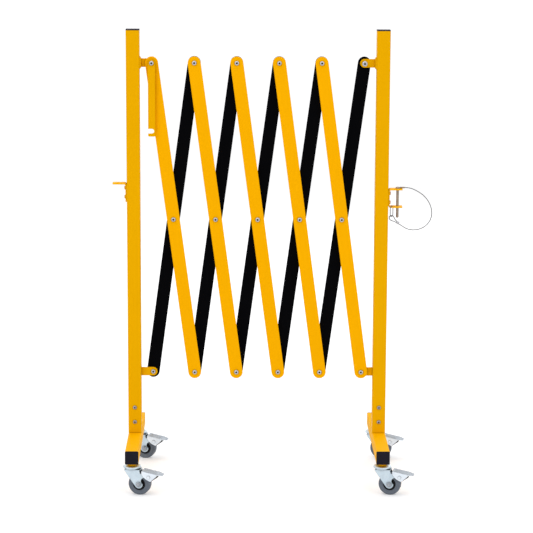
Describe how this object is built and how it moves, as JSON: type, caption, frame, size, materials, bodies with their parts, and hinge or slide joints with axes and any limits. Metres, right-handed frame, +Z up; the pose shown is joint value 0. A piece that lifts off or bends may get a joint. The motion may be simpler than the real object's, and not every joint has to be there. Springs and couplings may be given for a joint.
{
  "type": "expandable safety barrier",
  "caption": "Free-standing expanding barrier: crossed yellow and black flat arms between two yellow posts on feet with braked swivel castors.",
  "frame": {"origin": "on the floor, at the middle of the whole barrier seen from above", "axes": "+Z up, +X along the barrier from the latch hook's post to the locking pin's, +Y to the back, away from the side with the yellow arms"},
  "size_m": [0.721, 0.3575, 1.025],
  "materials": {
    "yellow_paint": "satin",
    "black_paint": "satin",
    "zinc_steel": "zinc plated",
    "bright_steel": "bright",
    "black_nylon": "matte",
    "black_plastic": "matte",
    "grey_rubber": "matte"
  },
  "bodies": {
    "left_post": {"left_post": "yellow_paint", "left_post_cap": "black_plastic", "left_foot": "yellow_paint", "left_foot_end_caps": "black_plastic", "left_fasteners": "zinc_steel", "left_top_bracket": "yellow_paint", "left_top_bolt": "zinc_steel", "left_connector": "yellow_paint"},
    "right_post": {"right_post": "yellow_paint", "right_post_cap": "black_plastic", "right_foot": "yellow_paint", "right_foot_end_caps": "black_plastic", "right_fasteners": "zinc_steel", "right_top_bracket": "yellow_paint", "right_top_bolt": "zinc_steel", "right_connector": "yellow_paint", "lanyard_ring": "bright_steel", "pin_lanyard": "bright_steel"},
    "left_slider": {"left_slider": "yellow_paint", "left_slider_bolt": "zinc_steel"},
    "right_slider": {"right_slider": "yellow_paint", "right_slider_bolt": "zinc_steel"},
    "latch_hook": {"latch_hook": "yellow_paint"},
    "locking_pin": {"locking_pin": "bright_steel"},
    "yellow_arm_1": {"yellow_arm_1": "yellow_paint", "arm_1_bolts": "zinc_steel", "arm_1_spacers": "black_nylon"},
    "black_arm_1": {"black_arm_1": "black_paint"},
    "yellow_arm_2": {"yellow_arm_2": "yellow_paint", "arm_2_bolts": "zinc_steel", "arm_2_spacers": "black_nylon"},
    "black_arm_2": {"black_arm_2": "black_paint"},
    "yellow_arm_3": {"yellow_arm_3": "yellow_paint", "arm_3_bolts": "zinc_steel", "arm_3_spacers": "black_nylon"},
    "black_arm_3": {"black_arm_3": "black_paint"},
    "yellow_arm_4": {"yellow_arm_4": "yellow_paint", "arm_4_bolts": "zinc_steel", "arm_4_spacers": "black_nylon"},
    "black_arm_4": {"black_arm_4": "black_paint"},
    "yellow_arm_5": {"yellow_arm_5": "yellow_paint", "arm_5_bolts": "zinc_steel", "arm_5_spacers": "black_nylon"},
    "black_arm_5": {"black_arm_5": "black_paint"},
    "left_front_castor": {"left_front_fork": "zinc_steel"},
    "left_front_wheel": {"left_front_wheel": "black_nylon", "left_front_tyre": "grey_rubber"},
    "left_front_pedal": {"left_front_pedal": "zinc_steel"},
    "left_rear_castor": {"left_rear_fork": "zinc_steel"},
    "left_rear_wheel": {"left_rear_wheel": "black_nylon", "left_rear_tyre": "grey_rubber"},
    "left_rear_pedal": {"left_rear_pedal": "zinc_steel"},
    "right_front_castor": {"right_front_fork": "zinc_steel"},
    "right_front_wheel": {"right_front_wheel": "black_nylon", "right_front_tyre": "grey_rubber"},
    "right_front_pedal": {"right_front_pedal": "zinc_steel"},
    "right_rear_castor": {"right_rear_fork": "zinc_steel"},
    "right_rear_wheel": {"right_rear_wheel": "black_nylon", "right_rear_tyre": "grey_rubber"},
    "right_rear_pedal": {"right_rear_pedal": "zinc_steel"}
  },
  "joints": [
    {"name": "lattice_opening", "type": "hinge", "parent": "left_post", "child": "yellow_arm_1", "pos_m": [-0.24998, 0, 0.9505], "axis": [0, -1, 0], "range_deg": [-5.22, 52]},
    {"name": "middle_pivot_1", "type": "hinge", "parent": "yellow_arm_1", "child": "black_arm_1", "pos_m": [-0.20248, 0, 0.59768], "axis": [0, -1, 0], "range_deg": [-104.01, 10.45]},
    {"name": "top_pivot_1", "type": "hinge", "parent": "black_arm_1", "child": "yellow_arm_2", "pos_m": [-0.15498, 0, 0.9505], "axis": [0, -1, 0], "range_deg": [-10.45, 104.01]},
    {"name": "middle_pivot_2", "type": "hinge", "parent": "yellow_arm_2", "child": "black_arm_2", "pos_m": [-0.10748, 0, 0.59768], "axis": [0, -1, 0], "range_deg": [-104.01, 10.45]},
    {"name": "top_pivot_2", "type": "hinge", "parent": "black_arm_2", "child": "yellow_arm_3", "pos_m": [-0.05998, 0, 0.9505], "axis": [0, -1, 0], "range_deg": [-10.45, 104.01]},
    {"name": "middle_pivot_3", "type": "hinge", "parent": "yellow_arm_3", "child": "black_arm_3", "pos_m": [-0.01248, 0, 0.59768], "axis": [0, -1, 0], "range_deg": [-104.01, 10.45]},
    {"name": "top_pivot_3", "type": "hinge", "parent": "black_arm_3", "child": "yellow_arm_4", "pos_m": [0.03502, 0, 0.9505], "axis": [0, -1, 0], "range_deg": [-10.45, 104.01]},
    {"name": "middle_pivot_4", "type": "hinge", "parent": "yellow_arm_4", "child": "black_arm_4", "pos_m": [0.08252, 0, 0.59768], "axis": [0, -1, 0], "range_deg": [-104.01, 10.45]},
    {"name": "top_pivot_4", "type": "hinge", "parent": "black_arm_4", "child": "yellow_arm_5", "pos_m": [0.13002, 0, 0.9505], "axis": [0, -1, 0], "range_deg": [-10.45, 104.01]},
    {"name": "middle_pivot_5", "type": "hinge", "parent": "yellow_arm_5", "child": "black_arm_5", "pos_m": [0.17752, 0, 0.59768], "axis": [0, -1, 0], "range_deg": [-104.01, 10.45]},
    {"name": "right_top_pivot", "type": "hinge", "parent": "black_arm_5", "child": "right_post", "pos_m": [0.22502, 0, 0.9505], "axis": [0, -1, 0], "range_deg": [-5.23, 52.01]},
    {"name": "left_slider_pivot", "type": "hinge", "parent": "black_arm_1", "child": "left_slider", "pos_m": [-0.24998, 0, 0.24487], "axis": [0, -1, 0], "range_deg": [-5.23, 52.01]},
    {"name": "right_slider_pivot", "type": "hinge", "parent": "yellow_arm_5", "child": "right_slider", "pos_m": [0.22502, 0, 0.24487], "axis": [0, -1, 0], "range_deg": [-52.01, 5.23]},
    {"name": "latch_swing", "type": "hinge", "parent": "left_post", "child": "latch_hook", "pos_m": [-0.24998, 0, 0.9505], "axis": [0, -1, 0], "range_deg": [-5, 100]},
    {"name": "pin_lift", "type": "slide", "parent": "right_post", "child": "locking_pin", "axis": [0, 0, 1], "range_m": [0, 0.065], "deforming": ["pin_lanyard"]},
    {"name": "left_front_swivel", "type": "hinge", "parent": "left_post", "child": "left_front_castor", "pos_m": [-0.29198, -0.153, 0.073], "axis": [0, 0, 1], "continuous": true},
    {"name": "left_front_wheel_spin", "type": "hinge", "parent": "left_front_castor", "child": "left_front_wheel", "pos_m": [-0.27444, -0.15705, 0.025], "axis": [-0.225, -0.9744, 0], "continuous": true},
    {"name": "left_front_pedal_lift", "type": "hinge", "parent": "left_front_castor", "child": "left_front_pedal", "pos_m": [-0.25203, -0.16222, 0.043], "axis": [-0.225, -0.9744, 0], "range_deg": [0, 12]},
    {"name": "left_rear_swivel", "type": "hinge", "parent": "left_post", "child": "left_rear_castor", "pos_m": [-0.29198, 0.153, 0.073], "axis": [0, 0, 1], "continuous": true},
    {"name": "left_rear_wheel_spin", "type": "hinge", "parent": "left_rear_castor", "child": "left_rear_wheel", "pos_m": [-0.27444, 0.14895, 0.025], "axis": [-0.225, -0.9744, 0], "continuous": true},
    {"name": "left_rear_pedal_lift", "type": "hinge", "parent": "left_rear_castor", "child": "left_rear_pedal", "pos_m": [-0.25203, 0.14378, 0.043], "axis": [-0.225, -0.9744, 0], "range_deg": [0, 12]},
    {"name": "right_front_swivel", "type": "hinge", "parent": "right_post", "child": "right_front_castor", "pos_m": [0.26702, -0.153, 0.073], "axis": [0, 0, 1], "continuous": true},
    {"name": "right_front_wheel_spin", "type": "hinge", "parent": "right_front_castor", "child": "right_front_wheel", "pos_m": [0.28456, -0.15705, 0.025], "axis": [-0.225, -0.9744, 0], "continuous": true},
    {"name": "right_front_pedal_lift", "type": "hinge", "parent": "right_front_castor", "child": "right_front_pedal", "pos_m": [0.30697, -0.16222, 0.043], "axis": [-0.225, -0.9744, 0], "range_deg": [0, 12]},
    {"name": "right_rear_swivel", "type": "hinge", "parent": "right_post", "child": "right_rear_castor", "pos_m": [0.26702, 0.153, 0.073], "axis": [0, 0, 1], "continuous": true},
    {"name": "right_rear_wheel_spin", "type": "hinge", "parent": "right_rear_castor", "child": "right_rear_wheel", "pos_m": [0.28456, 0.14895, 0.025], "axis": [-0.225, -0.9744, 0], "continuous": true},
    {"name": "right_rear_pedal_lift", "type": "hinge", "parent": "right_rear_castor", "child": "right_rear_pedal", "pos_m": [0.30697, 0.14378, 0.043], "axis": [-0.225, -0.9744, 0], "range_deg": [0, 12]}
  ],
  "couplings": [
    {"joint": "middle_pivot_1", "follows": "lattice_opening", "ratio": -2},
    {"joint": "top_pivot_1", "follows": "lattice_opening", "ratio": 2},
    {"joint": "middle_pivot_2", "follows": "lattice_opening", "ratio": -2},
    {"joint": "top_pivot_2", "follows": "lattice_opening", "ratio": 2},
    {"joint": "middle_pivot_3", "follows": "lattice_opening", "ratio": -2},
    {"joint": "top_pivot_3", "follows": "lattice_opening", "ratio": 2},
    {"joint": "middle_pivot_4", "follows": "lattice_opening", "ratio": -2},
    {"joint": "top_pivot_4", "follows": "lattice_opening", "ratio": 2},
    {"joint": "middle_pivot_5", "follows": "lattice_opening", "ratio": -2},
    {"joint": "right_top_pivot", "follows": "lattice_opening", "ratio": 1},
    {"joint": "left_slider_pivot", "follows": "lattice_opening", "ratio": 1},
    {"joint": "right_slider_pivot", "follows": "lattice_opening", "ratio": -1}
  ]
}
